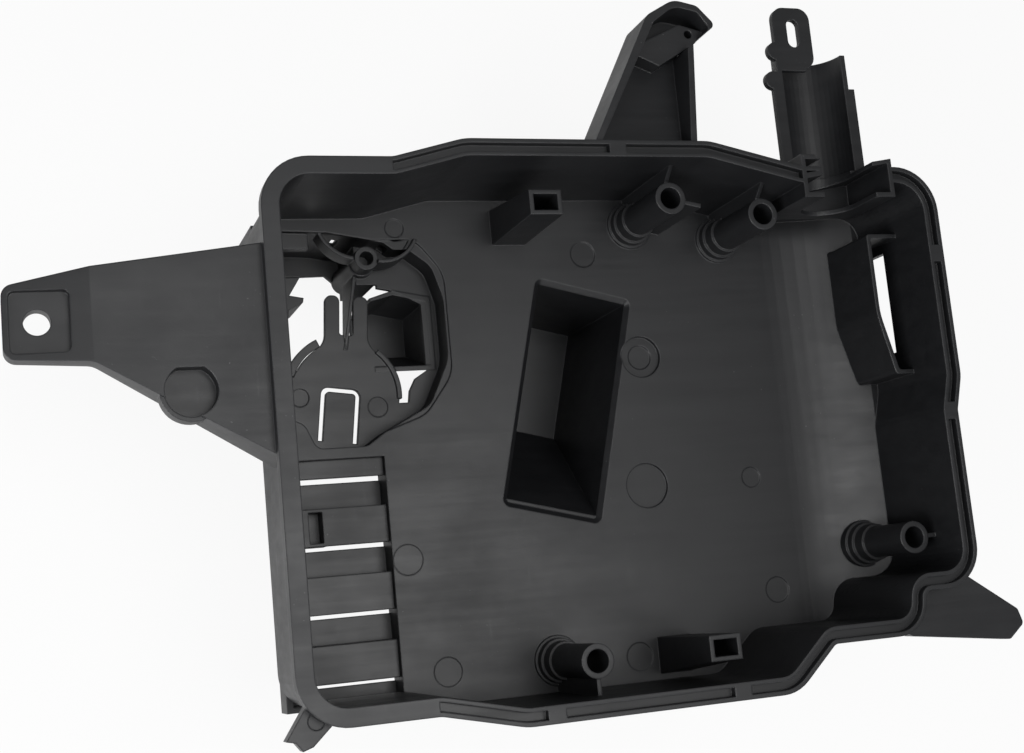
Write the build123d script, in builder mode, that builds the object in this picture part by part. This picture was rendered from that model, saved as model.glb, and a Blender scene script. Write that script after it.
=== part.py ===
from build123d import *
import os
from math import atan2, cos, degrees, hypot, radians, sin, tan

# Injection moulded control-unit tray, one moulding, in millimetres.
# The tray lies on its back and opens upwards. X runs along it, Y across it.
# The datum is under the middle of the floor, on the floor's underside.

# Tray
wall = 2.5
floor_thickness = 2.5
tray_depth = 55.0
draft = 0.5
left_reach = 124.0
right_reach = 122.0
top_reach = 94.5
bottom_reach = 94.5
bottom_edge_radius = 3.0

# Outline steps
left_band_length = 41.0
left_band_inset = 6.8
band_ramp = 26.0
right_swell = 3.5
swell_end = 10.0
swell_ramp = 13.0
seat_flat_start = 74.0
seat_flat_y = 85.0
seat_ramp = 38.0
corner_step_x = 26.0
corner_step_y = 31.0
low_step_x = 35.0
low_step_ramp = 17.0
low_step_y = 15.5
corner_radius = 11.0
blend_radius = 15.0
inside_step_radius = 9.0

# Rim flange with its seal groove
flange_width = 6.2
flange_height = 5.0
groove_inner = 1.4
groove_outer = 4.6
groove_depth = 3.0
groove_start = 84.0
pad_width = 6.5
pads = ((0.0, "top"), (57.0, "right"), (-4.0, "right"), (-44.0, "bottom"), (25.0, "bottom"))

# Floor that sweeps up towards the right wall
sweep_start = 84.0
sweep_rise = 8.5

# Screw bosses
boss_height = 40.0
boss_radius = 6.1
boss_bore = 4.1
boss_bore_depth = 30.0
boss_steps = ((9.2, 1.2), (8.2, 4.5), (7.1, 10.0))
rib = 1.6
bosses = ((26.0, 83.3), (64.0, 77.0), (111.7, -49.8), (-21.9, -82.5))
# Ribs of each boss: (compass angle, reach, rise towards the wall)
boss_ribs = (
    ((95, 12.0, 8.0), (-12, 13.0, 0.0)),
    ((98, 12.0, 8.0),),
    ((2, 11.0, 0.0),),
    ((-90, 12.5, 0.0),),
)

# Clip towers: (x, y) of the corner nearest the middle, and the side that they lean to
clip_towers = ((-32.0, 76.4, 1), (19.2, -78.0, -1))
clip_length = 13.4
clip_width = 9.2
clip_wall = 1.6
clip_height = 46.0
clip_spread = 4.5

# Deep pocket in the floor
pocket_x = -7.2
pocket_y = 14.8
pocket_turn = -14.4
pocket_width = 36.5
pocket_length = 86.0
pocket_depth = 60.0
pocket_wall = 2.2
pocket_draft = 1.2
pocket_ramp = 39.0
pocket_edge = 1.6

# Shallow round marks in the floor: (x, y, radius, depth)
counterbore = (25.2, 30.5, 8.0, 1.0)
counterbore_inner = (25.2, 30.5, 4.8, 1.7)
round_recess = (22.0, -20.1, 8.6, 0.6)
pin_mark_depth = 0.3
pin_marks = (
    (5.1, 72.1, 5.1),
    (-64.3, -82.3, 5.3),
    (11.4, -84.5, 5.3),
    (72.9, -64.6, 5.0),
    (-75.7, -40.9, 5.6),
    (-70.4, 83.3, 3.6),
    (67.1, -19.7, 4.0),
)

# Louvre in the lower left of the floor
louvre_left = -121.0
louvre_right = -81.5
louvre_top = -2.5
louvre_pitch = 24.4
louvre_first = 6.6
louvre_slat = 13.6
louvre_slit = 1.3
louvre_count = 3
louvre_sink = 3.0
louvre_drop = 7.0
louvre_skin = 2.0
louvre_end = 6.0
pit_left = -110.5
pit_length = 5.0
pit_skin = 1.2

# Recess with the cable clip in the upper left of the floor
recess_top = 79.0
recess_right = -52.4
recess_low = 1.5
recess_depth = 12.0
recess_wall = 2.0
hood_depth = 40.0
hood_low = 42.0
clip_disc_x = -91.5
clip_disc_y = 22.5
clip_disc_radius = 20.5
clip_plate = 2.2
clip_turn = -8.0
clip_shift = -1.2
prong_width = 5.7
prong_gap = 5.4
prong_tip = 38.5
tongue_width = 11.2
tongue_root = -18.0
tongue_tip = 1.4
tongue_slot = 1.3
tunnel_left = -71.0
tunnel_low = 30.5
tunnel_high = 58.0
tunnel_right = -59.5
tunnel_depth = 35.0
tunnel_wall = 1.8
post_x = -82.0
post_y = 72.0
post_radius = 5.0
post_bore = 3.0
wing_depth = 10.0

# Cable duct and its grommet seat, on one axis
duct_x = 94.0
duct_z = 42.0
duct_radius = 13.5
duct_wall = 2.0
duct_end = 142.0
duct_flange = 4.5
duct_flange_end = 128.0
tab_width = 16.5
tab_end = 161.0
tab_thickness = 2.4
tab_slot_width = 5.2
tab_slot_length = 11.5
seat_half_width = 17.8
seat_inner = 79.4
seat_outer_left = 88.5
seat_outer_right = 94.5
seat_plate = 1.8
seat_throat = 11.3
seat_floor = 28.0
flange_gap_left = 11.0
flange_gap_right = 18.0

# Chute against the right wall, open through the wall
chute_left = 112.0
chute_top = 37.0
chute_low = 13.9
chute_high = 70.0
chute_wall = 1.6
window_low = 24.0
window_high = 64.5
window_sill = 15.0
window_head = 27.0

# Lug arm on the left
arm_top = 53.0
arm_plate = 3.0
arm_wall = 2.5
arm_root_high = 66.0
arm_root_low = -8.2
arm_knee = -185.5
arm_knee_high = 58.3
arm_knee_low = 27.6
arm_end = -212.5
arm_end_high = 52.6
arm_end_low = 29.2
arm_root_height = 25.0
arm_end_height = 10.0
arm_hole_x = -202.0
arm_hole_y = 41.2
arm_hole_radius = 4.2
arm_pad_drop = 2.5
arm_pad_sink = 1.4

# Tapered bracket on top
bracket_top = 57.0
bracket_wall = 2.5
bracket_height = 13.0
bracket_back_root = 51.0
bracket_back_tip = 43.0
bracket_block_top = 51.5

rim_z = floor_thickness + tray_depth
floor_z = floor_thickness
arm_pad_z = arm_top - arm_pad_drop - arm_pad_sink
boss_top = floor_z + boss_height


def outline_points():
    """Inside line of the rim, clockwise from the upper left corner, as (x, y, radius)."""
    upper_left = top_reach - left_band_inset
    right = right_reach + right_swell
    step_x = right_reach - corner_step_x
    step_y = corner_step_y - bottom_reach
    low_x = right_reach - corner_step_x - low_step_x
    return [
        (-left_reach, upper_left, corner_radius),
        (left_band_length - left_reach, upper_left, blend_radius),
        (left_band_length - left_reach + band_ramp, top_reach, blend_radius),
        (seat_flat_start - seat_ramp, top_reach, blend_radius),
        (seat_flat_start, seat_flat_y, blend_radius),
        (right, seat_flat_y, corner_radius),
        (right, swell_end, inside_step_radius),
        (right_reach, swell_end - swell_ramp, inside_step_radius),
        (right_reach, step_y, inside_step_radius),
        (step_x + 2.5, step_y, inside_step_radius),
        (step_x, low_step_y - bottom_reach, inside_step_radius * 0.75),
        (low_x, low_step_y - bottom_reach, inside_step_radius),
        (low_x - low_step_ramp, -bottom_reach, inside_step_radius),
        (left_band_length + 29.0 - left_reach, -bottom_reach, blend_radius),
        (left_band_length - left_reach, left_band_inset - bottom_reach, blend_radius),
        (-left_reach, left_band_inset - bottom_reach, corner_radius),
    ]


def outline(level, grow=0.0):
    """The rim's inside line as a face at a height, grown outwards."""
    points = outline_points()
    with BuildSketch(Plane.XY.offset(level)) as face:
        with BuildLine():
            FilletPolyline(*[(x, y) for x, y, _ in points], radius=[r for _, _, r in points], close=True)
        make_face()
        if grow > 0:
            offset(amount=grow, kind=Kind.ARC)
    return face.sketch


def above_sweep(lift):
    """Everything above the floor's curve, which sweeps up towards the right wall."""
    run = right_reach - sweep_start
    radius = (run**2 + sweep_rise**2) / (2 * sweep_rise)
    far = right_reach + 60
    end_angle = degrees(atan2(run, radius - sweep_rise))
    with BuildPart() as space:
        with BuildSketch(Plane.XZ):
            with BuildLine():
                flat = Line((-260, lift), (sweep_start, lift))
                curve = CenterArc((sweep_start, lift + radius), radius, -90, end_angle)
                Polyline(curve @ 1, (far, lift + sweep_rise), (far, 120), (-260, 120), flat @ 0)
            make_face()
        extrude(amount=200, both=True)
    return space.part


def tray_body():
    """Outside of the tray: floor, walls and rim flange, still solid."""
    with BuildPart() as body:
        extrude(outline(rim_z - flange_height, wall), amount=-(rim_z - flange_height), taper=draft)
        fillet(body.edges().group_by(Axis.Z)[0], radius=bottom_edge_radius)
        add(above_sweep(0.0), mode=Mode.INTERSECT)
        extrude(outline(rim_z - flange_height, flange_width), amount=flange_height)
    return body.part


def tray_cavity():
    with BuildPart() as cavity:
        extrude(outline(rim_z), amount=-tray_depth, taper=draft)
        add(above_sweep(floor_z), mode=Mode.INTERSECT)
    return cavity.part


def seal_groove():
    """Groove round the rim, from the top's ramp clockwise to the bottom's, broken by flat pads."""
    with BuildPart() as groove:
        with BuildSketch(Plane.XY.offset(rim_z - groove_depth)):
            add(outline(0.0, groove_outer))
            add(outline(0.0, groove_inner), mode=Mode.SUBTRACT)
            with Locations((-groove_start - 100, 0)):
                Rectangle(200, 400, mode=Mode.SUBTRACT)
            for place, side in pads:
                if side == "right":
                    spot = (right_reach + 5, place)
                    size = (20, pad_width)
                else:
                    spot = (place, top_reach + 3 if side == "top" else -bottom_reach - 3)
                    size = (pad_width, 20)
                with Locations(spot):
                    Rectangle(*size, mode=Mode.SUBTRACT)
        extrude(amount=groove_depth)
    return groove.part


def floor_lift(x):
    """Height of the floor's sweep at a place along the tray."""
    run = right_reach - sweep_start
    radius = (run**2 + sweep_rise**2) / (2 * sweep_rise)
    return radius - (radius**2 - max(x - sweep_start, 0.0) ** 2) ** 0.5


def boss_post(x, y):
    """Screw boss turned about its own axis, with a stepped foot."""
    foot, shoulder, collar = boss_steps
    ground = floor_z + floor_lift(x)
    with BuildPart() as post:
        with BuildSketch(Plane(origin=(x, y, 0), x_dir=(1, 0, 0), z_dir=(0, -1, 0))):
            with BuildLine():
                Polyline(
                    (0, 0.5),
                    (foot[0], 0.5),
                    (foot[0], ground + foot[1]),
                    (shoulder[0], ground + foot[1]),
                    (shoulder[0], ground + shoulder[1]),
                    (collar[0], ground + shoulder[1]),
                    (collar[0], ground + collar[1]),
                    (boss_radius, ground + collar[1]),
                    (boss_radius, boss_top),
                    (0, boss_top),
                    close=True,
                )
            make_face()
        revolve(axis=Axis((x, y, 0), (0, 0, 1)))
        add(above_sweep(0.0), mode=Mode.INTERSECT)
    return post.part


def boss_rib(x, y, angle, reach, rise):
    """Upright rib from a boss to the wall; its top climbs towards the wall."""
    along = (cos(radians(angle)), sin(radians(angle)), 0)
    across = (sin(radians(angle)), -cos(radians(angle)), 0)
    with BuildPart() as web:
        with BuildSketch(Plane(origin=(x, y, 0), x_dir=along, z_dir=across)):
            with BuildLine():
                Polyline(
                    (boss_bore + 0.8, floor_z - 1),
                    (reach, floor_z - 1),
                    (reach, boss_top - 1 + rise),
                    (boss_radius + 0.5, boss_top - 1),
                    (boss_bore + 0.8, boss_top - 1),
                    close=True,
                )
            make_face()
        extrude(amount=rib / 2, both=True)
        add(above_sweep(0.5), mode=Mode.INTERSECT)
    return web.part


def boss_bore_cut(x, y):
    with BuildPart() as bore:
        with BuildSketch(Plane.XY.offset(boss_top - boss_bore_depth)):
            with Locations((x, y)):
                Circle(boss_bore)
        extrude(amount=boss_bore_depth + 1)
    return bore.part


def clip_tower(x, y, way):
    """Hollow square tower that leans on the wall side; way is +1 towards +Y, -1 towards -Y."""
    foot_width = clip_width + clip_spread
    with BuildPart() as tower:
        with BuildSketch(Plane.XY.offset(1)):
            with Locations((x + clip_length / 2, y + way * foot_width / 2)):
                Rectangle(clip_length, foot_width)
        with BuildSketch(Plane.XY.offset(clip_height)):
            with Locations((x + clip_length / 2, y + way * clip_width / 2)):
                Rectangle(clip_length - 1, clip_width)
        loft()
        with BuildSketch(Plane.XY.offset(clip_height)):
            with Locations((x + clip_length / 2, y + way * clip_width / 2)):
                Rectangle(clip_length - 1 - 2 * clip_wall, clip_width - 2 * clip_wall)
        extrude(amount=-clip_height + 8, mode=Mode.SUBTRACT)
    return tower.part


def pocket_plane(level):
    return Plane(origin=(pocket_x, pocket_y, level)).rotated((0, 0, pocket_turn))


def pocket_solid(grow):
    """Deep pocket, with a steep ramp at its lower end; grow gives its outside."""
    shrink = 2 * pocket_depth * tan(radians(pocket_draft))
    top = (pocket_width + 2 * grow, pocket_length + 2 * grow)
    low_length = pocket_length - pocket_ramp - shrink / 2
    low = (pocket_width - shrink + 2 * grow, low_length + 2 * grow)
    low_y = pocket_length / 2 - shrink / 2 - low_length / 2
    with BuildPart() as pocket:
        with BuildSketch(pocket_plane(floor_z)):
            Rectangle(*top)
        with BuildSketch(pocket_plane(floor_z - pocket_depth - grow)):
            with Locations((0, low_y)):
                Rectangle(*low)
        loft(ruled=True)
    return pocket.part


def floor_marks():
    """Shallow round marks of the ejector pins and the counterbored seat."""
    with BuildPart() as marks:
        for x, y, radius in pin_marks:
            with BuildSketch(Plane.XY.offset(floor_z - pin_mark_depth)):
                with Locations((x, y)):
                    Circle(radius)
            extrude(amount=pin_mark_depth + 0.2)
        for x, y, radius, depth in (counterbore, counterbore_inner, round_recess):
            with BuildSketch(Plane.XY.offset(floor_z - depth)):
                with Locations((x, y)):
                    Circle(radius)
            extrude(amount=depth + 0.2)
    return marks.part


def box_between(low, high):
    """Plain block between two corners, for cuts and plates."""
    size = [b - a for a, b in zip(low, high)]
    with BuildPart() as block:
        with BuildSketch(Plane.XY.offset(low[2])):
            with Locations((low[0] + size[0] / 2, low[1] + size[1] / 2)):
                Rectangle(size[0], size[1])
        extrude(amount=size[2])
    return block.part


def louvre_levels():
    """Heights of the slats and of the lower plates."""
    slat_z = floor_z - louvre_sink
    return slat_z, slat_z - louvre_drop


def louvre_bottom():
    """Lower end of the louvre."""
    low_plate = louvre_pitch - louvre_slat
    first_step = louvre_top - louvre_first
    return first_step - louvre_count * louvre_pitch - low_plate / 2 - louvre_end / 6


def louvre_case():
    """Block that the louvre's walls are left from, under the floor."""
    low_z = louvre_levels()[1] - louvre_skin
    return box_between(
        (louvre_left - wall, louvre_bottom() - louvre_skin, low_z),
        (louvre_right + louvre_skin, louvre_top + louvre_skin, floor_z - 1),
    )


def louvre_opening():
    return box_between(
        (louvre_left, louvre_bottom(), louvre_levels()[1] - louvre_skin - 1),
        (louvre_right, louvre_top, floor_z + 1),
    )


def louvre_profiles():
    """Side profiles of the stepped skin, an open slit between each and the next."""
    slat_z, low_z = louvre_levels()
    t = louvre_skin
    low_plate = louvre_pitch - louvre_slat
    step = louvre_top - louvre_first
    profiles = [[(louvre_top + 1, slat_z), (step, slat_z), (step, slat_z - t), (louvre_top + 1, slat_z - t)]]
    for _ in range(louvre_count):
        start = step - louvre_slit
        riser = step - low_plate
        step -= louvre_pitch
        profiles.append(
            [
                (start, low_z),
                (riser, low_z),
                (riser, slat_z),
                (step, slat_z),
                (step, slat_z - t),
                (riser - t, slat_z - t),
                (riser - t, low_z - t),
                (start, low_z - t),
            ]
        )
    start = step - louvre_slit
    end = louvre_bottom() - 1
    profiles.append([(start, low_z), (end, low_z), (end, low_z - t), (start, low_z - t)])
    return profiles


def louvre_skin_part():
    with BuildPart() as skin:
        for profile in louvre_profiles():
            with BuildSketch(Plane(origin=(louvre_left - 1, 0, 0), x_dir=(0, 1, 0), z_dir=(1, 0, 0))):
                with BuildLine():
                    Polyline(*profile, close=True)
                make_face()
            extrude(amount=louvre_right - louvre_left + 2)
    return skin.part


def louvre_pit(grow):
    """Blind pit at the left end of the second slat; grow gives its outside."""
    slat_z, low_z = louvre_levels()
    riser = louvre_top - louvre_first - (louvre_pitch - louvre_slat)
    return box_between(
        (pit_left - grow, riser - louvre_slat + pit_skin - grow, low_z - grow),
        (pit_left + pit_length + grow, riser - pit_skin + grow, slat_z + (1 if grow == 0 else 0)),
    )


def recess_outline(level, grow=0.0):
    """Rounded outline of the clip recess, which ends at the left wall."""
    left = 0.8 - left_reach
    with BuildSketch(Plane.XY.offset(level)) as face:
        with BuildLine():
            FilletPolyline(
                (left, recess_top),
                (recess_right - 10.5, recess_top),
                (recess_right, recess_top - 13),
                (recess_right, recess_low + 25.5),
                (recess_right - 11.5, recess_low + 10.5),
                (recess_right - 27.5, recess_low + 5),
                (recess_right - 35, recess_low),
                (recess_right - 53.5, recess_low),
                (recess_right - 57.5, recess_low + 9),
                (left, recess_low + 15.5),
                radius=[0, 9, 16, 14, 12, 5, 5, 4, 5, 0],
                close=True,
            )
        make_face()
        if grow > 0:
            offset(amount=grow, kind=Kind.ARC)
    return face.sketch


def recess_body():
    """Walls and plate of the recess, with a deeper hood round its upper left."""
    plate_z = floor_z - recess_depth
    with BuildPart() as body:
        extrude(recess_outline(floor_z - 1, recess_wall), amount=-(recess_depth + clip_plate - 1))
        extrude(recess_outline(plate_z - clip_plate), amount=clip_plate, mode=Mode.ADD)
    with BuildPart() as hood:
        extrude(recess_outline(floor_z - 1, recess_wall), amount=-(hood_depth - 1))
        add(
            box_between((-left_reach - wall, hood_low, -80), (tunnel_right, recess_top + 10, floor_z)),
            mode=Mode.INTERSECT,
        )
    with BuildPart() as whole:
        add(body.part)
        add(hood.part)
    return whole.part


def recess_cavity():
    """Space inside the recess, open below round the clip."""
    plate_z = floor_z - recess_depth
    with BuildPart() as deep:
        extrude(recess_outline(floor_z + 1), amount=-(hood_depth + 10))
        add(
            box_between(
                (-left_reach, hood_low - 12, -80),
                (tunnel_right - 3, recess_top + 10, floor_z + 5),
            ),
            mode=Mode.INTERSECT,
        )
    with BuildPart() as cavity:
        extrude(recess_outline(floor_z + 1), amount=-(recess_depth + 1))
        add(deep.part)
        with BuildSketch(Plane.XY.offset(plate_z - clip_plate - 1)):
            with BuildLine():
                Polyline((-71, 31), (-59, 31), (-65, 26), (-67, 18), (-70.5, 18), close=True)
            make_face()
        extrude(amount=clip_plate + 2)
    return cavity.part


def clip_plane(level):
    return Plane(origin=(clip_disc_x, clip_disc_y, level)).rotated((0, 0, clip_turn))


def cable_clip():
    """Round clip plate with two prongs, and a spring tongue cut out of it by a U-shaped slot."""
    plate_z = floor_z - recess_depth
    prong_offset = (prong_gap + prong_width) / 2
    with BuildPart() as clip:
        with BuildSketch(clip_plane(plate_z - clip_plate)):
            Circle(clip_disc_radius)
            for side in (-1, 1):
                with Locations((clip_shift + side * prong_offset, prong_tip / 2)):
                    RectangleRounded(prong_width, prong_tip, prong_width / 2 - 0.2)
        extrude(amount=clip_plate)
    return clip.part


def tongue_slot_cut():
    plate_z = floor_z - recess_depth
    outer = tongue_width + 2 * tongue_slot
    middle = (tongue_tip + tongue_root) / 2
    with BuildPart() as slot:
        with BuildSketch(clip_plane(plate_z - clip_plate - 1)):
            with Locations((clip_shift, middle)):
                Rectangle(outer, tongue_tip - tongue_root)
            with Locations((clip_shift, middle - tongue_slot)):
                Rectangle(tongue_width, tongue_tip - tongue_root, mode=Mode.SUBTRACT)
        extrude(amount=clip_plate + 4)
    return slot.part


def tunnel(grow):
    """Blind duct under the recess plate, open to the left; grow gives its outside."""
    plate_z = floor_z - recess_depth
    return box_between(
        (tunnel_left - (0 if grow else 1), tunnel_low - grow, plate_z - tunnel_depth - grow),
        (tunnel_right + grow, tunnel_high + grow, plate_z - (0 if grow else -1)),
    )


def post_and_wings():
    """Small screw post at the recess edge, held by curved wings and a blade."""
    plate_z = floor_z - recess_depth
    with BuildPart() as post:
        with BuildSketch(Plane.XY.offset(floor_z - hood_depth + 2)):
            with Locations((post_x, post_y)):
                Circle(post_radius)
        extrude(amount=hood_depth - 2)
        with BuildSketch(Plane.XY.offset(floor_z - wing_depth)):
            with BuildLine():
                ThreePointArc((post_x, post_y + 1), (post_x - 12, post_y + 1.5), (-100, recess_top + 2))
                Line((-100, recess_top + 2), (-101.7, recess_top + 2))
                ThreePointArc((-101.7, recess_top + 2), (post_x - 12.5, post_y), (post_x, post_y - 0.6))
                Line((post_x, post_y - 0.6), (post_x, post_y + 1))
            make_face()
            with BuildLine():
                ThreePointArc((post_x, post_y - 2.5), (post_x + 12, post_y - 1), (-62.5, recess_top + 1))
                Line((-62.5, recess_top + 1), (-64.3, recess_top + 2))
                ThreePointArc((-64.3, recess_top + 2), (post_x + 11.5, post_y + 0.6), (post_x, post_y - 1))
                Line((post_x, post_y - 1), (post_x, post_y - 2.5))
            make_face()
        extrude(amount=wing_depth)
        with BuildSketch(Plane(origin=(-85.5, 0, 0), x_dir=(0, 1, 0), z_dir=(1, 0, 0))):
            with BuildLine():
                Polyline(
                    (post_y - 3, floor_z - 2),
                    (post_y - 3, plate_z - 20),
                    (42, plate_z - clip_plate),
                    (40, plate_z),
                    close=True,
                )
            make_face()
        extrude(amount=1.5)
    return post.part


def post_bore_cut():
    with BuildPart() as bore:
        with BuildSketch(Plane.XY.offset(floor_z - 20)):
            with Locations((post_x, post_y)):
                Circle(post_bore)
        extrude(amount=22)
    return bore.part


def seat_plan(level, inset, amount):
    """Grommet seat seen from above: square inside, slanted outside."""
    left = duct_x - seat_half_width - seat_plate + inset
    right = duct_x + seat_half_width + seat_plate - inset
    with BuildPart() as block:
        with BuildSketch(Plane.XY.offset(level)):
            with BuildLine():
                Polyline(
                    (left, seat_inner + inset),
                    (right, seat_inner + inset),
                    (right, seat_outer_right - inset),
                    (left, seat_outer_left - inset),
                    close=True,
                )
            make_face()
        extrude(amount=amount)
    return block.part


def duct_profile(radius, y_from, y_to):
    """U shape round the duct's axis, along Y, open upwards."""
    top = rim_z + 2 * radius
    with BuildPart() as bar:
        with BuildSketch(Plane(origin=(duct_x, y_from, duct_z), x_dir=(1, 0, 0), z_dir=(0, 1, 0))):
            Circle(radius)
            with Locations((0, -top / 2)):
                Rectangle(2 * radius, top)
        extrude(amount=y_to - y_from)
    return bar.part


def duct_body():
    """Half-round duct with side flanges and a strap tab at its end."""
    outer = duct_radius + duct_wall
    edge = duct_radius + duct_flange
    with BuildPart() as duct:
        with BuildSketch(Plane(origin=(duct_x, seat_outer_left - 6, duct_z), x_dir=(1, 0, 0), z_dir=(0, 1, 0))):
            Circle(outer)
            with Locations((0, -outer / 2)):
                Rectangle(2 * outer, outer, mode=Mode.SUBTRACT)
        extrude(amount=duct_end - seat_outer_left + 6)
        add(box_between((duct_x - edge, 86, duct_z - 2.2), (duct_x, duct_end - 10, duct_z)))
        add(box_between((duct_x, 86, duct_z - 2.2), (duct_x + edge, duct_flange_end, duct_z)))
    return duct.part


def duct_tab():
    """Flat strap tab with a long slot, and two half-round ears on the duct's left edge."""
    left = duct_x - duct_radius - 1.5
    edge = duct_x - duct_radius - duct_flange
    middle = left + tab_width / 2
    with BuildPart() as tab:
        with BuildSketch(Plane.XY.offset(duct_z - tab_thickness)):
            with Locations((middle, (duct_end - 6 + tab_end) / 2)):
                RectangleRounded(tab_width, tab_end - duct_end + 6, 5)
            with Locations((middle - 2, duct_end - 3)):
                Rectangle(tab_width - 4, 8)
            with Locations((middle + 0.3, (duct_end + tab_end) / 2 - 1)):
                SlotOverall(tab_slot_length, tab_slot_width, rotation=90, mode=Mode.SUBTRACT)
            with Locations((edge + 0.5, duct_end - 11), (left, duct_end + 1)):
                Circle(3.6)
        extrude(amount=tab_thickness)
    return tab.part


def seat_lip():
    """Small angled lip outside the seat's left end."""
    left = duct_x - seat_half_width - seat_plate
    with BuildPart() as lip:
        add(box_between((left, seat_outer_left - 2, duct_z), (left + seat_plate, 96, rim_z)))
        add(box_between((left, 96 - seat_plate, duct_z), (left + 8.5, 96, rim_z)))
    return lip.part


def chute_shape(inset, low, high):
    """Chute seen from above, with its curved front."""
    right = right_reach + right_swell + 1
    with BuildPart() as shape:
        with BuildSketch(Plane.XY.offset(low)):
            with BuildLine():
                FilletPolyline(
                    (right, chute_high - inset),
                    (chute_left + inset, chute_high - inset),
                    (chute_left + inset, chute_low + 24),
                    (chute_left + 5.4 + inset, chute_low + inset),
                    (right, chute_low + inset),
                    radius=[0, 1, 30, 1.5, 0],
                    close=True,
                )
            make_face()
        extrude(amount=high - low)
    return shape.part


def chute_body():
    with BuildPart() as chute:
        add(chute_shape(0.0, floor_z - 2, chute_top))
        add(chute_shape(chute_wall, floor_z - 3, chute_top + 1), mode=Mode.SUBTRACT)
        add(above_sweep(0.5), mode=Mode.INTERSECT)
    return chute.part


def chute_window():
    """Window through the right wall behind the chute."""
    return box_between(
        (right_reach + right_swell - 4, window_low, window_sill),
        (right_reach + right_swell + wall + 4, window_high, window_head),
    )


def arm_points(inset=0.0):
    return [
        (-left_reach - 1, arm_root_high - inset),
        (arm_knee, arm_knee_high - inset),
        (arm_end + inset, arm_end_high - inset),
        (arm_end + inset, arm_end_low + inset),
        (arm_knee, arm_knee_low + inset),
        (-left_reach - 1, arm_root_low + inset),
    ]


def arm_plan(inset, low, high):
    with BuildPart() as plan:
        with BuildSketch(Plane.XY.offset(low)):
            with BuildLine():
                FilletPolyline(*arm_points(inset), radius=[0, 8, 4, 4, 8, 0], close=True)
            make_face()
        extrude(amount=high - low)
    return plan.part


def arm_side():
    """Side view of the arm: level on top, deeper towards the tray, knee at the pad."""
    with BuildPart() as side:
        with BuildSketch(Plane.XZ):
            with BuildLine():
                Polyline(
                    (-left_reach, arm_top),
                    (arm_knee, arm_top),
                    (arm_end - 5, arm_top - arm_pad_drop),
                    (arm_end - 5, arm_top - arm_end_height),
                    (arm_knee, arm_top - arm_end_height),
                    (-left_reach, arm_top - arm_root_height),
                    close=True,
                )
            make_face()
        extrude(amount=120, both=True)
    return side.part


def arm_body():
    """Lug arm: a top plate with side walls, open underneath."""
    with BuildPart() as arm:
        add(arm_plan(0.0, 20, arm_top))
        add(arm_side(), mode=Mode.INTERSECT)
        add(arm_plan(arm_wall, 19, arm_top - arm_plate - arm_pad_drop), mode=Mode.SUBTRACT)
        with BuildSketch(Plane.XY.offset(arm_top - arm_end_height)):
            with Locations((arm_hole_x, arm_hole_y)):
                Circle(arm_hole_radius + 3)
        extrude(amount=arm_end_height - 3.5)
        with BuildSketch(Plane.XY.offset(arm_top - 8)):
            with Locations((-155.8, 17)):
                Circle(10.2)
        extrude(amount=7)
    return arm.part


def arm_cuts():
    with BuildPart() as cuts:
        with BuildSketch(Plane.XY.offset(20)):
            with Locations((arm_hole_x, arm_hole_y)):
                Circle(arm_hole_radius)
        extrude(amount=40)
        with BuildSketch(Plane.XY.offset(arm_pad_z)):
            with Locations(((arm_end - 192 + 2) / 2, 41)):
                RectangleRounded(-192 - arm_end - 2, 20, 2)
        extrude(amount=arm_pad_sink + 4)
        with BuildSketch(Plane.XY.offset(arm_top - 6)):
            with Locations((-155.8, 17)):
                Circle(8.6)
            with Locations((-155.8, 30)):
                Rectangle(30, 11, mode=Mode.SUBTRACT)
        extrude(amount=10)
    return cuts.part


def bracket_outline(inset, low, high):
    """Bracket seen from above: two sides that close in on a rounded nose."""
    with BuildPart() as shape:
        with BuildSketch(Plane.XY.offset(low)):
            with BuildLine():
                FilletPolyline(
                    (-10.0 + inset, 97 + inset * 0),
                    (17.5 + inset, 149 - inset),
                    (29.0, 155.5 - inset),
                    (38.5, 153.5 - inset),
                    (45.5 - inset, 146 - inset / 2),
                    (35.5 - inset, 139.5 - inset),
                    (32.0 - inset, 97 + inset * 0),
                    radius=[0, 6, 8, 4, 2, 2, 0],
                    close=True,
                )
            make_face()
        extrude(amount=high - low)
    return shape.part


def bracket_body():
    """Tapered bracket with a sloping back plate and a screw block under its nose."""
    bottom = bracket_top - bracket_height
    with BuildPart() as back:
        with BuildSketch(Plane(origin=(0, 0, 0), x_dir=(0, 1, 0), z_dir=(1, 0, 0))):
            with BuildLine():
                Polyline(
                    (90, bracket_back_root),
                    (140, bracket_back_tip),
                    (160, bracket_back_tip),
                    (160, 80),
                    (90, 80),
                    close=True,
                )
            make_face()
        extrude(amount=100, both=True)
    with BuildPart() as bracket:
        add(bracket_outline(0.0, bottom - 5, bracket_top))
        with BuildPart(mode=Mode.PRIVATE) as hollow:
            add(bracket_outline(bracket_wall, bottom - 6, bracket_top + 1))
            add(back.part, mode=Mode.INTERSECT)
        add(hollow.part, mode=Mode.SUBTRACT)
        with BuildSketch(Plane.XY.offset(bottom)):
            with BuildLine():
                Polyline((14, 135.5), (23, 131.5), (39, 141), (43, 145.5), (33, 148), (16, 140), close=True)
            make_face()
        extrude(amount=bracket_block_top - bottom)
        with BuildSketch(Plane.XY.offset(bracket_block_top - 6)):
            with Locations((36.4, 144.3)):
                Circle(1.6)
        extrude(amount=7, mode=Mode.SUBTRACT)
    return bracket.part


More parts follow.
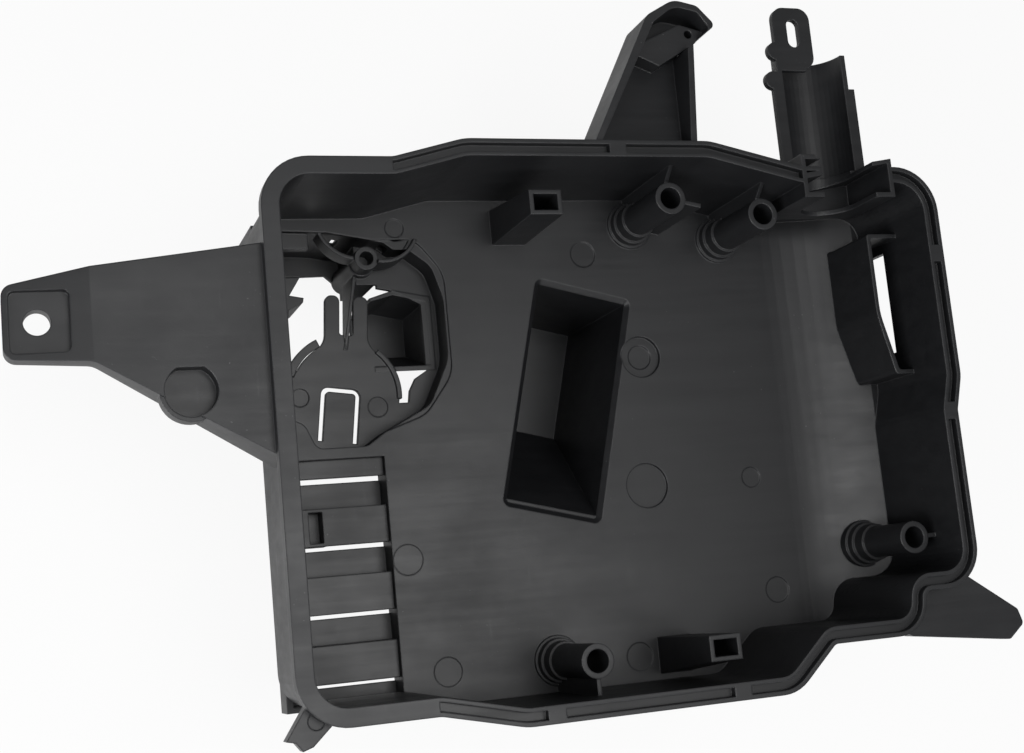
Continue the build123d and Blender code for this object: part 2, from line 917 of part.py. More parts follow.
def lower_right_lug():
    """Pointed lug under the stepped corner, with a sloping end."""
    with BuildPart() as lug:
        with BuildSketch(Plane.XY.offset(44)):
            with BuildLine():
                FilletPolyline(
                    (118, -60),
                    (127.5, -65.7),
                    (148.5, -80.2),
                    (150.3, -85.8),
                    (143.5, -91.2),
                    (101, -86.0),
                    (90, -80),
                    (100, -72),
                    radius=[0, 0, 2, 2, 2, 0, 0, 0],
                    close=True,
                )
            make_face()
        extrude(amount=5)
    return lug.part


def lower_left_lug():
    """Small pointed lug at the lower left corner."""
    with BuildPart() as lug:
        with BuildSketch(Plane.XY.offset(47)):
            with BuildLine():
                Polyline(
                    (-120, -80),
                    (-125.5, -84.5),
                    (-133.6, -96.3),
                    (-130.6, -97.0),
                    (-128.4, -99.9),
                    (-125.0, -98.8),
                    (-117.5, -92.0),
                    (-115, -88),
                    close=True,
                )
            make_face()
        extrude(amount=5.5)
        with BuildSketch(Plane.XY.offset(52)):
            with Locations((-123.5, -91)):
                Circle(2.8)
        extrude(amount=1, mode=Mode.SUBTRACT)
    return lug.part


def flange_gap():
    """Gap in the rim flange where the duct meets the grommet seat."""
    return box_between(
        (duct_x - flange_gap_left, seat_outer_right - 4, duct_z),
        (duct_x + flange_gap_right, top_reach + flange_width + 1, rim_z + 1),
    )


def seat_block():
    low = seat_floor - seat_plate
    return seat_plan(low, 0.0, rim_z - low)


def screw_bosses():
    """Posts and ribs of all the bosses."""
    shapes = []
    for (x, y), ribs in zip(bosses, boss_ribs):
        shapes.append(boss_post(x, y))
        for angle, reach, rise in ribs:
            shapes.append(boss_rib(x, y, angle, reach, rise))
    return shapes


# The part's datum is the bolt hole in the arm, at the upper face of its pad
arm_datum = Plane((-arm_hole_x, -arm_hole_y, -arm_pad_z))

with BuildPart(arm_datum) as housing:
    add([tray_body(), pocket_solid(pocket_wall), louvre_case(), recess_body()])
    add([arm_body(), bracket_body(), lower_right_lug(), lower_left_lug()])
    add([tray_cavity(), seal_groove(), flange_gap()], mode=Mode.SUBTRACT)
    add([seat_block(), seat_lip(), duct_body(), chute_body()])
    add(
        [
            seat_plan(seat_floor, seat_plate, rim_z),
            duct_profile(seat_throat, seat_inner - 1, seat_outer_right + 1),
            duct_profile(duct_radius, seat_outer_right, duct_end + 1),
            chute_window(),
        ],
        mode=Mode.SUBTRACT,
    )
    add(screw_bosses() + [duct_tab()] + [clip_tower(*tower) for tower in clip_towers])
    add([boss_bore_cut(x, y) for x, y in bosses], mode=Mode.SUBTRACT)
    add([pocket_solid(0.0), floor_marks(), arm_cuts(), louvre_opening(), recess_cavity()], mode=Mode.SUBTRACT)
    add([louvre_skin_part(), louvre_pit(pit_skin), tunnel(tunnel_wall), cable_clip(), post_and_wings()])
    add([louvre_pit(0.0), tunnel(0.0), tongue_slot_cut(), post_bore_cut()], mode=Mode.SUBTRACT)

housing.part.label = "housing"
os.makedirs("parts", exist_ok=True)
export_step(housing.part, "parts/housing.step")
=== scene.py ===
"""Dresses the moulded tray housing: finer forms on a copy of its solid, plastic, lights, floor and camera."""

import math

import bmesh
import bpy
from mathutils import Matrix, Vector


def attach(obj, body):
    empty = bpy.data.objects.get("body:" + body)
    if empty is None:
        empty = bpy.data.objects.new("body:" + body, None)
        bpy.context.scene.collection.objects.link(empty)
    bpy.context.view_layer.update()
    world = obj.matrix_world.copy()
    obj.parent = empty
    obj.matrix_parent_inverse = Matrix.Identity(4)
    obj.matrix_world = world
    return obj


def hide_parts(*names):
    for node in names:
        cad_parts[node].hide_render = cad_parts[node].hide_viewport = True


# The frame's origin is the bolt hole in the arm. The tray's own datum, under the middle of its floor,
# lies here, in metres. The camera, lights and floor are in metres from it, all outlines in millimetres.
TRAY = Vector((0.202, -0.0412, -0.0491))
MM = 0.001
SEAM = 1e-6  # points of the solid's mesh that are closer than this are one

# Camera: its place, the way it looks, and its lens from the photograph's frame
CAMERA_PLACE = Vector((-0.21849, -0.0597, 0.53387))
CAMERA_LOOK = Vector((0.33202, 0.1483, -0.93154))
CAMERA_UP = Vector((0.04092, 0.98437, 0.1713))
SENSOR = 36.0
FOCAL_PIXELS = 1500.0
FRAME_WIDTH = 1024.0
NEAREST, FARTHEST = 0.01, 20.0

# Softboxes: name, place, aim, size and power in watts
SOFTBOXES = (
    ("overhead", (0.08, -0.06, 1.3), (-0.02, 0.0, 0.0), (0.65, 0.8), 6.8),
    ("left", (-1.0, -0.45, 0.5), (0.0, 0.0, 0.03), (0.5, 1.0), 7.5),
    ("front", (0.1, -1.2, 0.7), (0.0, 0.0, 0.03), (0.9, 0.4), 3.5),
)
FILL_STRENGTH = 0.22

# Card under the part
WHITE = (1.0, 1.0, 1.0, 1.0)
CARD = (0.9, 0.9, 0.9, 1.0)
CARD_GLOW = 0.9
CARD_HALF = 3.0
CARD_GAP = 0.002
POCKET_BOTTOM = -0.0597

# Plastic's colour: plain; rubbed, which also lightens the edges as a painted edge highlight; and dusty
PLASTIC = (0.0125, 0.013, 0.0145, 1.0)
RUBBED_AND_HIGHLIGHT = (0.052, 0.053, 0.057, 1.0)
DUST = (0.16, 0.16, 0.165, 1.0)

# Plastic's noise: scale along x, y and z, per metre
STREAKS = (14.0, 260.0, 120.0)
SMUDGES = (22.0, 26.0, 22.0)
SPECKS = (900.0, 900.0, 900.0)
SCRATCHES = (1500.0, 60.0, 300.0)
GRAIN = (2600.0, 2600.0, 2600.0)
WAVES = (9.0, 60.0, 30.0)

# What the noise drives: from low and high, to low and high
# The edge share and its smudge patches lighten the edges' colour: rubbed wear and a painted edge highlight
WEAR_AND_HIGHLIGHT_BY_BEND = (0.985, 0.82, 0.0, 1.0)
WEAR_AND_HIGHLIGHT_BY_SMUDGE = (0.38, 0.62, 0.25, 1.0)
RUBBED_BY_STREAK = (0.35, 0.7, 0.0, 0.09)
DUST_BY_SPECK = (0.76, 0.8, 0.0, 0.5)
DUST_BY_SMUDGE = (0.5, 0.6, 0.0, 1.0)
ROUGHNESS_BY_SMUDGE = (0.3, 0.7, 0.34, 0.48)
ROUGHNESS_BY_STREAK = (0.3, 0.7, -0.035, 0.035)
ROUGHNESS_BY_SCRATCH = (0.68, 0.74, 0.0, -0.06)
ROUGHNESS_BY_WEAR = (0.0, 1.0, 0.0, -0.15)

# Plastic's relief, in metres
EDGE_ROUNDING = 0.0007
EDGE_SAMPLES = 6
GRAIN_STRENGTH, GRAIN_HEIGHT = 0.3, 0.00006
WAVE_STRENGTH, WAVE_HEIGHT = 0.35, 0.0004

# Sockets of the colour mix node, whose names are shared with its other data types
MIX_BELOW, MIX_ABOVE, MIX_RESULT = 6, 7, 2


def node(tree, kind, **inputs):
    """Shader node with its inputs set by name."""
    made = tree.nodes.new(kind)
    for name, value in inputs.items():
        made.inputs[name].default_value = value
    return made


def add_camera():
    """Camera at the photograph's angle, level with its frame of 1024 by 753."""
    data = bpy.data.cameras.new("camera")
    data.sensor_width = SENSOR
    data.lens = FOCAL_PIXELS / FRAME_WIDTH * SENSOR
    data.clip_start = NEAREST
    data.clip_end = FARTHEST
    camera = bpy.data.objects.new("camera", data)
    bpy.context.scene.collection.objects.link(camera)
    back = -CAMERA_LOOK.normalized()
    right = CAMERA_UP.cross(back).normalized()
    up = back.cross(right)
    turn = Matrix((right, up, back)).transposed().to_4x4()
    camera.matrix_world = Matrix.Translation(TRAY + CAMERA_PLACE) @ turn
    bpy.context.scene.camera = camera


def add_softbox(name, place, aim, size, power):
    """Rectangular area light at a place from the tray's datum, turned to an aim point."""
    data = bpy.data.lights.new(name, "AREA")
    data.shape = "RECTANGLE"
    data.size, data.size_y = size
    data.energy = power
    lamp = bpy.data.objects.new(name, data)
    bpy.context.scene.collection.objects.link(lamp)
    direction = Vector(aim) - Vector(place)
    turn = direction.to_track_quat("-Z", "Y").to_matrix().to_4x4()
    lamp.matrix_world = Matrix.Translation(TRAY + Vector(place)) @ turn
    return lamp


def add_lights():
    """The softboxes and a weak even fill."""
    for softbox in SOFTBOXES:
        add_softbox(*softbox)
    world = bpy.data.worlds.new("studio")
    world.use_nodes = True
    background = world.node_tree.nodes["Background"]
    background.inputs["Color"].default_value = WHITE
    background.inputs["Strength"].default_value = FILL_STRENGTH
    bpy.context.scene.world = world


def floor_material():
    """White card: plain white where the camera sees it, apart from the soft shadow."""
    made = bpy.data.materials.new("card")
    made.use_nodes = True
    tree = made.node_tree
    tree.nodes.clear()
    card = node(tree, "ShaderNodeBsdfDiffuse", Color=CARD)
    glow = node(tree, "ShaderNodeEmission", Color=WHITE, Strength=1.0)
    path = tree.nodes.new("ShaderNodeLightPath")
    seen = tree.nodes.new("ShaderNodeMath")
    seen.operation = "MAXIMUM"
    tree.links.new(path.outputs["Is Camera Ray"], seen.inputs[0])
    tree.links.new(path.outputs["Is Transmission Ray"], seen.inputs[1])
    share = tree.nodes.new("ShaderNodeMath")
    share.operation = "MULTIPLY"
    share.inputs[1].default_value = CARD_GLOW
    tree.links.new(seen.outputs[0], share.inputs[0])
    mix = tree.nodes.new("ShaderNodeMixShader")
    tree.links.new(share.outputs[0], mix.inputs["Fac"])
    tree.links.new(card.outputs[0], mix.inputs[1])
    tree.links.new(glow.outputs[0], mix.inputs[2])
    out = tree.nodes.new("ShaderNodeOutputMaterial")
    tree.links.new(mix.outputs[0], out.inputs["Surface"])
    return made


def add_floor():
    """Plain pale floor just under the deep pocket."""
    signs = ((-1, -1), (1, -1), (1, 1), (-1, 1))
    level = POCKET_BOTTOM - CARD_GAP
    corners = [TRAY + Vector((x * CARD_HALF, y * CARD_HALF, level)) for x, y in signs]
    mesh = bpy.data.meshes.new("floor")
    mesh.from_pydata(corners, [], [(0, 1, 2, 3)])
    floor = bpy.data.objects.new("floor", mesh)
    floor.data.materials.append(floor_material())
    bpy.context.scene.collection.objects.link(floor)


def stretched(tree, place, scale, **inputs):
    """Noise texture that is drawn out along the axes whose scale is small."""
    mapping = node(tree, "ShaderNodeMapping", Scale=scale)
    tree.links.new(place, mapping.inputs["Vector"])
    noise = node(tree, "ShaderNodeTexNoise", Scale=1.0, **inputs)
    tree.links.new(mapping.outputs["Vector"], noise.inputs["Vector"])
    return noise.outputs["Fac"]


def ranged(tree, value, low, high, to_low, to_high):
    """The value, carried from one range to another and held at its ends."""
    made = tree.nodes.new("ShaderNodeMapRange")
    tree.links.new(value, made.inputs["Value"])
    limits = {"From Min": low, "From Max": high, "To Min": to_low, "To Max": to_high}
    for name, limit in limits.items():
        made.inputs[name].default_value = limit
    return made.outputs["Result"]


def combined(tree, operation, first, second):
    """Math node over two outputs."""
    made = tree.nodes.new("ShaderNodeMath")
    made.operation = operation
    tree.links.new(first, made.inputs[0])
    tree.links.new(second, made.inputs[1])
    return made.outputs[0]


def tinted(tree, share, below, above):
    """Mix of two colours; below may be an output or a plain colour."""
    made = tree.nodes.new("ShaderNodeMix")
    made.data_type = "RGBA"
    tree.links.new(share, made.inputs["Factor"])
    if isinstance(below, tuple):
        made.inputs[MIX_BELOW].default_value = below
    else:
        tree.links.new(below, made.inputs[MIX_BELOW])
    made.inputs[MIX_ABOVE].default_value = above
    return made.outputs[MIX_RESULT]


def edge_share(tree, bevel):
    """How near a surface point is to an edge: 0 on the flat, 1 on the rounded corner."""
    shape = tree.nodes.new("ShaderNodeNewGeometry")
    dot = tree.nodes.new("ShaderNodeVectorMath")
    dot.operation = "DOT_PRODUCT"
    tree.links.new(bevel.outputs["Normal"], dot.inputs[0])
    tree.links.new(shape.outputs["Normal"], dot.inputs[1])
    return ranged(tree, dot.outputs["Value"], *WEAR_AND_HIGHLIGHT_BY_BEND)


def plastic_material():
    """Charcoal satin plastic: moulded grain, streaks, smudges, scratches, dust, and edges lightened as rubbed
    wear and a painted highlight.
    """
    made = bpy.data.materials.new("charcoal_plastic")
    made.use_nodes = True
    tree = made.node_tree
    shader = tree.nodes["Principled BSDF"]
    place = tree.nodes.new("ShaderNodeTexCoord").outputs["Object"]

    bevel = node(tree, "ShaderNodeBevel", Radius=EDGE_ROUNDING)
    bevel.samples = EDGE_SAMPLES
    edges = edge_share(tree, bevel)

    streaks = stretched(tree, place, STREAKS, Detail=4.0, Roughness=0.6)
    smudges = stretched(tree, place, SMUDGES, Detail=5.0, Roughness=0.62)
    specks = stretched(tree, place, SPECKS, Detail=1.0)
    scratches = stretched(tree, place, SCRATCHES, Detail=2.0, Distortion=0.4)

    # Edges lightened towards the rubbed colour, in patches set by the smudges: rubbed wear and a painted edge
    # highlight
    worn_and_highlit = combined(tree, "MULTIPLY", edges, ranged(tree, smudges, *WEAR_AND_HIGHLIGHT_BY_SMUDGE))
    colour = tinted(tree, ranged(tree, streaks, *RUBBED_BY_STREAK), PLASTIC, RUBBED_AND_HIGHLIGHT)
    colour = tinted(tree, worn_and_highlit, colour, RUBBED_AND_HIGHLIGHT)
    specked = ranged(tree, specks, *DUST_BY_SPECK)
    dusty = combined(tree, "MULTIPLY", specked, ranged(tree, smudges, *DUST_BY_SMUDGE))
    colour = tinted(tree, dusty, colour, DUST)
    tree.links.new(colour, shader.inputs["Base Color"])

    roughness = ranged(tree, smudges, *ROUGHNESS_BY_SMUDGE)
    changes = ((streaks, ROUGHNESS_BY_STREAK), (scratches, ROUGHNESS_BY_SCRATCH), (worn_and_highlit, ROUGHNESS_BY_WEAR))
    for cause, limits in changes:
        roughness = combined(tree, "ADD", roughness, ranged(tree, cause, *limits))
    tree.links.new(roughness, shader.inputs["Roughness"])

    grain = stretched(tree, place, GRAIN, Detail=2.0)
    waves = stretched(tree, place, WAVES, Detail=2.0)
    fine = node(tree, "ShaderNodeBump", Strength=GRAIN_STRENGTH, Distance=GRAIN_HEIGHT)
    tree.links.new(grain, fine.inputs["Height"])
    tree.links.new(bevel.outputs["Normal"], fine.inputs["Normal"])
    broad = node(tree, "ShaderNodeBump", Strength=WAVE_STRENGTH, Distance=WAVE_HEIGHT)
    tree.links.new(waves, broad.inputs["Height"])
    tree.links.new(fine.outputs["Normal"], broad.inputs["Normal"])
    tree.links.new(broad.outputs["Normal"], shader.inputs["Normal"])
    return made


def arc(x, y, radius, first, last, steps=16):
    """Points along an arc, its ends given in degrees."""
    turns = [math.radians(first + (last - first) * step / steps) for step in range(steps + 1)]
    return [(x + radius * math.cos(turn), y + radius * math.sin(turn)) for turn in turns]


def circle(x, y, radius, steps=72):
    """Closed outline of a circle."""
    return arc(x, y, radius, 0, 360, steps)[:-1]


def rounded(corners, steps=14):
    """Closed outline from corners given as (x, y, radius)."""
    line = []
    for index, (x, y, radius) in enumerate(corners):
        here = Vector((x, y))
        if radius == 0:
            line.append((x, y))
            continue
        before = (Vector(corners[index - 1][:2]) - here).normalized()
        after = (Vector(corners[(index + 1) % len(corners)][:2]) - here).normalized()
        half = before.angle(after) / 2
        middle = here + (before + after).normalized() * radius / math.sin(half)
        spoke = here + before * radius / math.tan(half) - middle
        sweep = math.copysign(math.pi - 2 * half, before.x * after.y - before.y * after.x)
        for step in range(steps + 1):
            turn = -sweep * step / steps
            line.append(
                (
                    middle.x + spoke.x * math.cos(turn) - spoke.y * math.sin(turn),
                    middle.y + spoke.x * math.sin(turn) + spoke.y * math.cos(turn),
                )
            )
    return line


def rectangle(half_width, half_length, radius):
    """Closed outline of a rectangle with rounded corners, about its middle."""
    signs = ((-1, -1), (1, -1), (1, 1), (-1, 1))
    return rounded([(x * half_width, y * half_length, radius) for x, y in signs])


def band(first, middle, last, width, steps=20):
    """Outline of a strip of even width along the arc through three points."""
    a, b, c = Vector(first), Vector(middle), Vector(last)
    d = 2 * (a.x * (b.y - c.y) + b.x * (c.y - a.y) + c.x * (a.y - b.y))
    centre = Vector(
        (
            (a.dot(a) * (b.y - c.y) + b.dot(b) * (c.y - a.y) + c.dot(c) * (a.y - b.y)) / d,
            (a.dot(a) * (c.x - b.x) + b.dot(b) * (a.x - c.x) + c.dot(c) * (b.x - a.x)) / d,
        )
    )
    radius = (a - centre).length
    start = math.degrees(math.atan2(a.y - centre.y, a.x - centre.x))
    end = math.degrees(math.atan2(c.y - centre.y, c.x - centre.x))
    end -= 360 * round((end - start) / 360)
    outer = arc(centre.x, centre.y, radius + width / 2, start, end, steps)
    inner = arc(centre.x, centre.y, radius - width / 2, end, start, steps)
    return outer + inner


def placed(line, x, y, turn):
    """The outline, turned by so many degrees and moved."""
    c, s = math.cos(math.radians(turn)), math.sin(math.radians(turn))
    return [(x + px * c - py * s, y + px * s + py * c) for px, py in line]


def between(lower, upper):
    """Closed solid between two rings of points, in mm from the tray's datum."""
    count = len(lower)
    corners = [TRAY + Vector(point) * MM for point in lower + upper]
    faces = [tuple(range(count)), tuple(range(count, 2 * count))]
    faces += [(i, (i + 1) % count, count + (i + 1) % count, count + i) for i in range(count)]
    mesh = bpy.data.meshes.new("tool")
    mesh.from_pydata(corners, [], faces)
    shape = bmesh.new()
    shape.from_mesh(mesh)
    bmesh.ops.recalc_face_normals(shape, faces=shape.faces)
    shape.to_mesh(mesh)
    shape.free()
    tool = bpy.data.objects.new("tool", mesh)
    bpy.context.scene.collection.objects.link(tool)
    return tool


def prism(line, low, high):
    """Upright solid over an outline, between two levels."""
    return between([(x, y, low) for x, y in line], [(x, y, high) for x, y in line])


def loft(lower, low, upper, high):
    """Solid from one outline at a low level to another at a high one."""
    return between([(x, y, low) for x, y in lower], [(x, y, high) for x, y in upper])


def block(low, high):
    """Box between two corners."""
    line = [(low[0], low[1]), (high[0], low[1]), (high[0], high[1]), (low[0], high[1])]
    return prism(line, low[2], high[2])


def pin(x, y, radius, low, high):
    """Upright cylinder between two levels."""
    return prism(circle(x, y, radius), low, high)


def worked(piece, operation, *tools):
    """Cuts tools from a piece, joins them to it or keeps what they share, and throws the tools away."""
    for tool in tools:
        step = piece.modifiers.new("step", "BOOLEAN")
        step.operation = operation
        step.solver = "EXACT"
        step.object = tool
        graph = bpy.context.evaluated_depsgraph_get()
        mesh = bpy.data.meshes.new_from_object(piece.evaluated_get(graph))
        piece.modifiers.clear()
        piece.data = mesh
        bpy.data.objects.remove(tool)
    return piece


# Levels: top of the tray's floor, both faces of the recess's plate, foot of the hood
FLOOR = 2.5
PLATE = -9.5
PLATE_UNDER = -11.7
HOOD_LOW = -37.5

# Tools: how far they reach past what they cut, and the foot of those that cut right through
CLEAR = 1.0
TOOL_LOW = -60.0
OPENING_LOW = -70.0
CLIP_TOOL_HEIGHT = 20.0
FUNNEL_STEP = 0.2

# Recess: both faces of its wall, as x, y and corner radius; the wall stops a little below the floor
RECESS_LEFT = -123.2
SHELL_DROP = 0.75
RECESS = (
    (RECESS_LEFT, 83.0, 0),
    (-96.3, 82.0, 5),
    (-75.1, 78.1, 2),
    (-71.3, 75.2, 2),
    (-65.5, 75.2, 6),
    (-57.0, 68.5, 9),
    (-53.3, 56.0, 12),
    (-53.3, 33.0, 16),
    (-61.8, 15.7, 10),
    (-79.9, 6.5, 5),
    (-87.4, 1.5, 5),
    (-105.9, 1.5, 4),
    (-109.9, 10.5, 5),
    (RECESS_LEFT, 17.0, 0),
)
RECESS_OUTSIDE = (
    (RECESS_LEFT - 1, 85.0, 0),
    (-96.0, 84.1, 5),
    (-74.2, 80.0, 2),
    (-70.8, 78.4, 2),
    (-61.5, 79.6, 8),
    (-52.0, 71.2, 11),
    (-50.4, 56.2, 14),
    (-50.4, 31.5, 18),
    (-58.6, 13.0, 12),
    (-77.5, 3.6, 5),
    (-86.8, -0.5, 5),
    (-107.2, -0.5, 6),
    (-111.0, 8.6, 5),
    (RECESS_LEFT - 1, 15.0, 0),
)

# Hood's box, open towards the recess, and the openings in it and in the plate
HOOD_LEFT, HOOD_BOTTOM, HOOD_BACK, HOOD_TOP = -126.4, 42.0, 90.0, 5.0
HOOD_PAST_POST = 5.6
LEFT_OPENING = (
    (RECESS_LEFT, 83.0),
    (RECESS_LEFT, 68.0),
    (-105.1, 68.0),
    (-109.6, 61.0),
    (-104.3, 60.0),
    (-104.6, 58.3),
    (-110.2, 55.5),
    (-111.8, 44.0),
    (-112.5, 32.5),
    (-83.9, 32.5),
    (-83.9, 83.0),
)
RIGHT_OPENING = (
    (-86.5, 32.3),
    (-86.5, 61.6),
    (-81.4, 61.4),
    (-78.1, 63.6),
    (-69.6, 61.9),
    (-59.1, 56.4),
    (-59.1, 32.3),
)
FUNNEL = (
    (-76.5, 33.0),
    (-59.3, 33.0),
    (-58.6, 30.9),
    (-63.7, 27.8),
    (-66.3, 23.2),
    (-67.0, 18.6),
    (-76.5, 18.6),
)
MIDDLE_OPENING = ((-84.5, 32.7, TOOL_LOW), (-75.9, 64.5, PLATE + 0.4))
WINDOWS = (
    ((-92.8, 77.0, -17.0), (-90.0, 86.0, -6.0)),
    ((-75.5, 74.0, -9.0), (-72.5, 82.0, -1.0)),
)

# Blind duct under the plate: its low side moves in by the slant at the foot
DUCT_OUTSIDE = ((-79.1, 30.7), (-55.3, 30.7), (-55.3, 59.2), (-69.9, 62.1), (-79.1, 59.2))
DUCT_INSIDE = ((-80.9, 32.5), (-57.1, 32.5), (-57.1, 57.4), (-69.9, 60.3), (-80.9, 57.4))
DUCT_SLANT = 9.5
DUCT_FOOT, DUCT_INSIDE_FOOT = -46.3, -44.5
DUCT_OVER = 0.5
SUNK = 0.01

# Screw post with its foot, and the two curved wings: three points from its axis, and the top of each
POST = (-82.0, 72.0)
POST_RADIUS, POST_FOOT_RADIUS, POST_FOOT_TOP = 4.5, 5.0, -6.0
POST_BORE_RADIUS, POST_BORE_FOOT = 2.6, -17.5
WING_WIDTH, WING_FOOT = 1.3, -7.5
WINGS = (
    ((-17.5, 11.5), (-11.6, 3.2), (-4.0, 0.3), 1.6),
    ((4.0, -1.5), (11.3, -0.7), (19.0, 6.6), 4.5),
)

# Ledges in the hood, at its foot and near its top
FOOT_LEDGE_HEIGHT = 2
TOP_LEDGE = ((RECESS_LEFT - 0.5, 76.5, -4.0), (-103.1, 83.5, 0.0))
FOOT_LEDGE = (
    (RECESS_LEFT, 83.5),
    (RECESS_LEFT, 73.6),
    (-90.0, 74.4),
    (-87.7, 72.3),
    (-85.8, 70.5),
    (-82.6, 69.2),
    (-81.2, 66.4),
    (-78.5, 66.4),
    (-76.4, 69.3),
    (-76.4, 79.5),
    (-96.0, 83.0),
)

# Forked clip, about the middle of its disc: its prongs with the notch between, as x, y and corner radius,
# the arcs that flare from the disc to them, and the spring tongue's slot
DISC = (-91.5, 22.5)
DISC_RADIUS = 20.5
FLARE_RADIUS = 7.0
FLARE_MIDDLE = (15.25, 22.88)
CLIP_SHIFT = 0.55
CLIP_TURN = -4.5
PRONGS = (
    (8.25, 23.0, 0),
    (8.25, 38.0, 2.5),
    (2.65, 38.0, 2.5),
    (2.65, 22.9, 1.0),
    (1.1, 22.9, 0),
    (-0.1, 16.9, 0),
    (-0.9, 22.9, 0),
    (-2.65, 22.9, 1.0),
    (-2.65, 38.0, 2.5),
    (-8.25, 38.0, 2.5),
    (-8.25, 23.0, 0),
)
TONGUE_TURN = -8.0
TONGUE_SLOT = (
    (-9.05, -18.0, 0),
    (-9.05, 2.5, 3.1),
    (5.85, 2.5, 3.1),
    (5.85, -18.0, 0),
    (4.1, -18.0, 0),
    (4.1, 0.75, 1.4),
    (-7.3, 0.75, 1.4),
    (-7.3, -18.0, 0),
)

# Raised arcs on the disc: outer and inner radius, first and last angle, height over the plate
RIDGES = ((23.4, 20.3, 114, 158, 0.9), (21.9, 20.1, -6, 50, 0.6))
RIDGE_SUNK = 0.2

# Pin marks in the plate: x, y and radius
PLATE_MARKS = ((-79.2, 17.4, 3.8), (-108.5, 22.2, 3.4))
MARK_DEPTH = 0.3

# Thin blade from the disc to the post: its foot from the disc's middle, its run, half its width, and its
# side view as share of the run and level
BLADE_FOOT = (1.6, 17.0)
BLADE_RUN = (6.3, 32.5)
BLADE_HALF = 0.6
BLADE_SIDE = ((0, PLATE), (1, PLATE + 1.2), (1, PLATE - 20.0), (0, PLATE_UNDER))

# Deep pocket: its middle and turn, the size and corner of its sloping lip at both ends
POCKET = (-7.2, 14.8, -14.4)
LIP_FOOT, LIP_DEPTH = (18.2, 43.0, 1.2), 1.9
LIP_TOP, LIP_OVER = (20.2, 45.0, 3.2), 0.1

# Round seats in the tray's floor: x, y, radius and depth
SEATS = ((22.0, -20.1, 8.6, 1.2), (25.2, 30.5, 8.1, 1.6), (25.2, 30.5, 4.7, 2.1))


def slanted(line):
    """The duct's outline at its lower end, where its low side has moved in."""
    low = min(y for _, y in line)
    return [(x, y + DUCT_SLANT if y == low else y) for x, y in line]


def clip_outline():
    """Disc that flares into two prongs, with a notch between them."""
    across, along = FLARE_MIDDLE
    flare = math.degrees(math.atan2(along, across))
    line = rounded(PRONGS)
    line += arc(-across, along, FLARE_RADIUS, 0, -flare, 8)[1:-1]
    line += arc(0, 0, DISC_RADIUS, 180 - flare, 360 + flare, 60)
    line += arc(across, along, FLARE_RADIUS, 180 + flare, 180, 8)[1:-1]
    return placed([(x + CLIP_SHIFT, y) for x, y in line], *DISC, CLIP_TURN)


def recess_shell():
    """Wall, plate and hood of the recess, with their openings cut clear of the clip."""
    inside, outside = rounded(RECESS), rounded(RECESS_OUTSIDE)
    under, above = PLATE_UNDER - CLEAR, PLATE + CLEAR
    top = FLOOR - SHELL_DROP
    hood_box = block((HOOD_LEFT, HOOD_BOTTOM, TOOL_LOW), (POST[0] + HOOD_PAST_POST, HOOD_BACK, HOOD_TOP))
    hood = worked(prism(outside, HOOD_LOW, top), "INTERSECT", hood_box)
    way = prism(LEFT_OPENING, OPENING_LOW, FLOOR + CLEAR)
    deep = worked(prism(inside, TOOL_LOW, FLOOR + CLEAR / 2), "INTERSECT", way)
    shell = prism(outside, PLATE_UNDER, top)
    worked(shell, "UNION", hood)
    worked(shell, "DIFFERENCE", prism(inside, PLATE, FLOOR + CLEAR))
    right = prism(RIGHT_OPENING, under, above)
    funnel = prism(FUNNEL, under, above - FUNNEL_STEP)
    for opening in (deep, block(*MIDDLE_OPENING), right, funnel):
        worked(opening, "DIFFERENCE", prism(clip_outline(), PLATE_UNDER, PLATE + CLIP_TOOL_HEIGHT))
        worked(shell, "DIFFERENCE", opening)
    worked(shell, "DIFFERENCE", prism(placed(rounded(TONGUE_SLOT), *DISC, TONGUE_TURN), under, above))
    worked(shell, "DIFFERENCE", *[pin(*mark, PLATE - MARK_DEPTH, above) for mark in PLATE_MARKS])
    return worked(shell, "DIFFERENCE", *[block(*window) for window in WINDOWS])


def duct():
    """Blind duct under the plate."""
    made = loft(slanted(DUCT_OUTSIDE), DUCT_FOOT, DUCT_OUTSIDE, PLATE - SUNK)
    space = loft(slanted(DUCT_INSIDE), DUCT_INSIDE_FOOT, DUCT_INSIDE, PLATE + DUCT_OVER)
    return worked(made, "DIFFERENCE", space)


def post():
    """Screw post with its blind bore."""
    made = pin(*POST, POST_RADIUS, HOOD_LOW + CLEAR, FLOOR)
    return worked(made, "DIFFERENCE", pin(*POST, POST_BORE_RADIUS, POST_BORE_FOOT, FLOOR + CLEAR))


def wing(first, middle, last, top):
    """Curved wing of the post."""
    points = [(POST[0] + x, POST[1] + y) for x, y in (first, middle, last)]
    return prism(band(*points, WING_WIDTH), WING_FOOT, top)


def blade():
    """Thin blade that rises from the disc towards the post."""
    reach = math.hypot(*BLADE_RUN)
    side = (BLADE_HALF * BLADE_RUN[1] / reach, -BLADE_HALF * BLADE_RUN[0] / reach)
    walls = [
        [
            tuple(DISC[i] + BLADE_FOOT[i] + BLADE_RUN[i] * share + way * side[i] for i in (0, 1)) + (level,)
            for share, level in BLADE_SIDE
        ]
        for way in (-1, 1)
    ]
    return between(*walls)


def ridge(outer, inner, first, last, height):
    """Raised arc on the clip's disc."""
    line = arc(*DISC, outer, first, last) + arc(*DISC, inner, last, first)
    return prism(line, PLATE_UNDER + RIDGE_SUNK, PLATE + height)


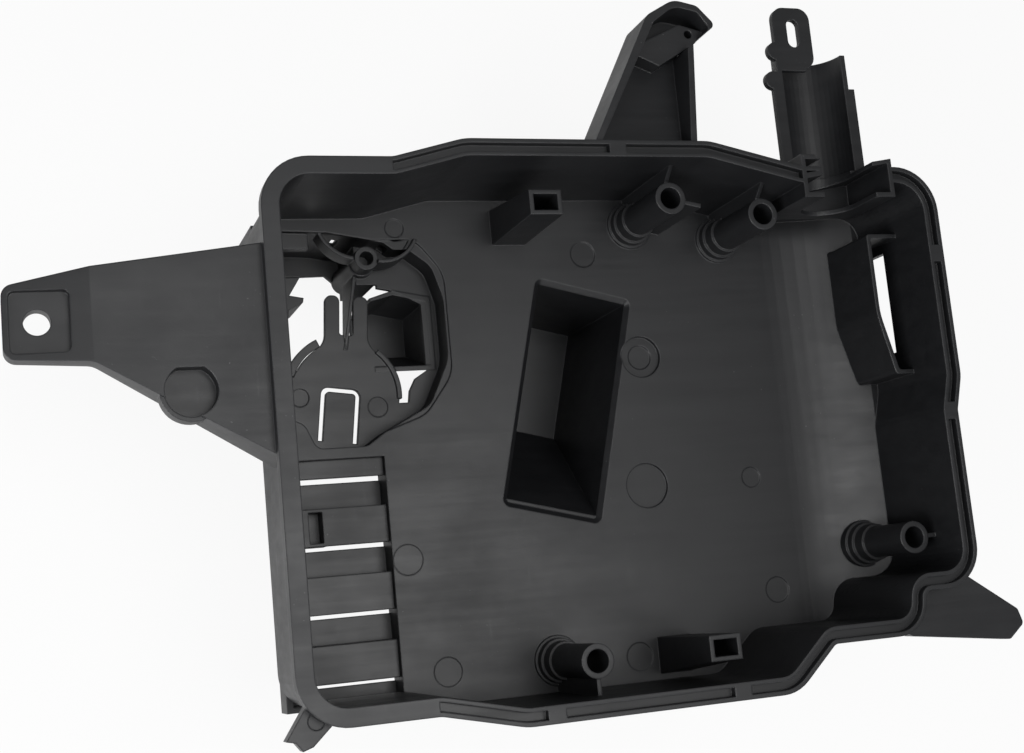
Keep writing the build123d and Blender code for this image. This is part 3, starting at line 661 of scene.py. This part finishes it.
def recess_detail(piece):
    """Clears the recess of the piece and makes its parts in their finer form."""
    worked(piece, "DIFFERENCE", prism(rounded(RECESS), TOOL_LOW, FLOOR + CLEAR))
    return [
        recess_shell(),
        duct(),
        post(),
        pin(*POST, POST_FOOT_RADIUS, HOOD_LOW, POST_FOOT_TOP),
        *[wing(*numbers) for numbers in WINGS],
        prism(FOOT_LEDGE, HOOD_LOW, HOOD_LOW + FOOT_LEDGE_HEIGHT),
        block(*TOP_LEDGE),
        blade(),
        *[ridge(*numbers) for numbers in RIDGES],
    ]


def rework_floor(piece):
    """Gives the pocket a sloping lip and the round seats their depth."""
    lip_foot, lip_top = (placed(rectangle(*size), *POCKET) for size in (LIP_FOOT, LIP_TOP))
    lip = loft(lip_foot, FLOOR - LIP_DEPTH, lip_top, FLOOR + LIP_OVER)
    seats = [pin(x, y, radius, FLOOR - depth, FLOOR + CLEAR) for x, y, radius, depth in SEATS]
    worked(piece, "DIFFERENCE", lip, *seats)


def housing_copy(source):
    """A copy of the housing's mesh with its faces sewn together, to cut finer forms into."""
    shape = bmesh.new()
    shape.from_mesh(source.data)
    bmesh.ops.remove_doubles(shape, verts=shape.verts, dist=SEAM)
    mesh = bpy.data.meshes.new("housing_detail")
    shape.to_mesh(mesh)
    shape.free()
    piece = bpy.data.objects.new("housing_detail", mesh)
    bpy.context.scene.collection.objects.link(piece)
    return piece


def joined(piece, parts):
    """Puts closed parts into the piece's mesh, flat shaded, and throws them away."""
    shape = bmesh.new()
    shape.from_mesh(piece.data)
    for part in parts:
        shape.from_mesh(part.data)
        bpy.data.objects.remove(part)
    for face in shape.faces:
        face.smooth = False
    mesh = bpy.data.meshes.new("housing_detail")
    shape.to_mesh(mesh)
    shape.free()
    piece.data = mesh


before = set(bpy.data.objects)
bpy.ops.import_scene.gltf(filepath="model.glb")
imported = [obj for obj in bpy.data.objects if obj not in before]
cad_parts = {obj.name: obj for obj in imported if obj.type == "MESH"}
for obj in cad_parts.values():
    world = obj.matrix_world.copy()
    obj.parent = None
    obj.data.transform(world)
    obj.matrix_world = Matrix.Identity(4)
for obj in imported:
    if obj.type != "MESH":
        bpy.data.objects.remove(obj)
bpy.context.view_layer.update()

housing = housing_copy(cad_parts["housing"])
rework_floor(housing)
joined(housing, recess_detail(housing))
housing.data.materials.clear()
housing.data.materials.append(plastic_material())
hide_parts("housing")
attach(housing, "root")

add_floor()
add_lights()
add_camera()

bpy.context.scene.view_settings.view_transform = "Standard"
